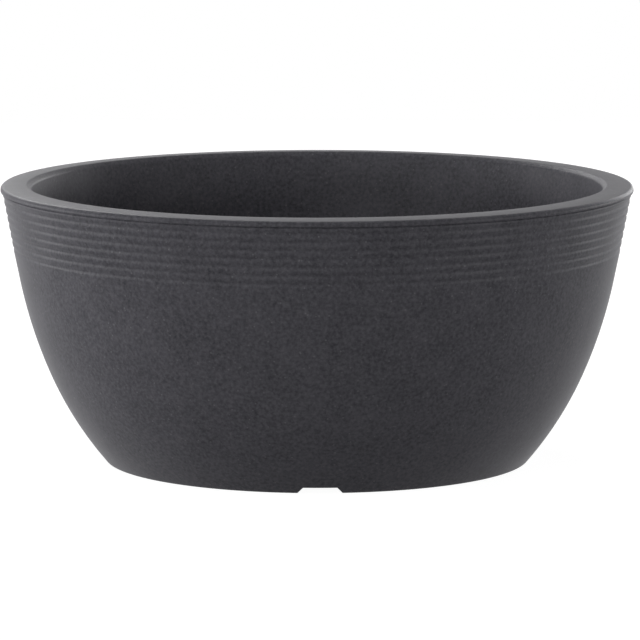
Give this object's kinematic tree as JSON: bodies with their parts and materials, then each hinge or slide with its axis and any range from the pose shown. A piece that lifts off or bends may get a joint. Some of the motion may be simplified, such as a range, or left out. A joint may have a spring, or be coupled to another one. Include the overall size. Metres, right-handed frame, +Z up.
{
  "type": "bowl planter",
  "caption": "Round bowl planter in matte charcoal composite, flat rim over a ribbed band, tapering to a notched foot ring; drainage disc and drain plug lift out.",
  "frame": {"origin": "centre of the circle that the foot ring stands on, at its underside", "axes": "+Z up along the bowl's axis; one of the drain notches in the foot ring faces -Y, the side that the picture shows"},
  "size_m": [0.4, 0.3998, 0.176],
  "materials": {
    "bowl_composite": "matte, fine grained, faintly speckled charcoal",
    "disc_plastic": "matte black moulded plastic",
    "plug_rubber": "matte black rubber"
  },
  "bodies": {
    "bowl": {"bowl": "bowl_composite"},
    "disc": {"drainage_disc": "disc_plastic"},
    "plug": {"drain_plug": "plug_rubber"}
  },
  "joints": [
    {"name": "disc_lift", "type": "slide", "parent": "bowl", "child": "disc", "axis": [0, 0, 1], "range_m": [0, 0.165]},
    {"name": "plug_pull", "type": "slide", "parent": "bowl", "child": "plug", "axis": [0, 0, 1], "range_m": [0, 0.022]}
  ]
}
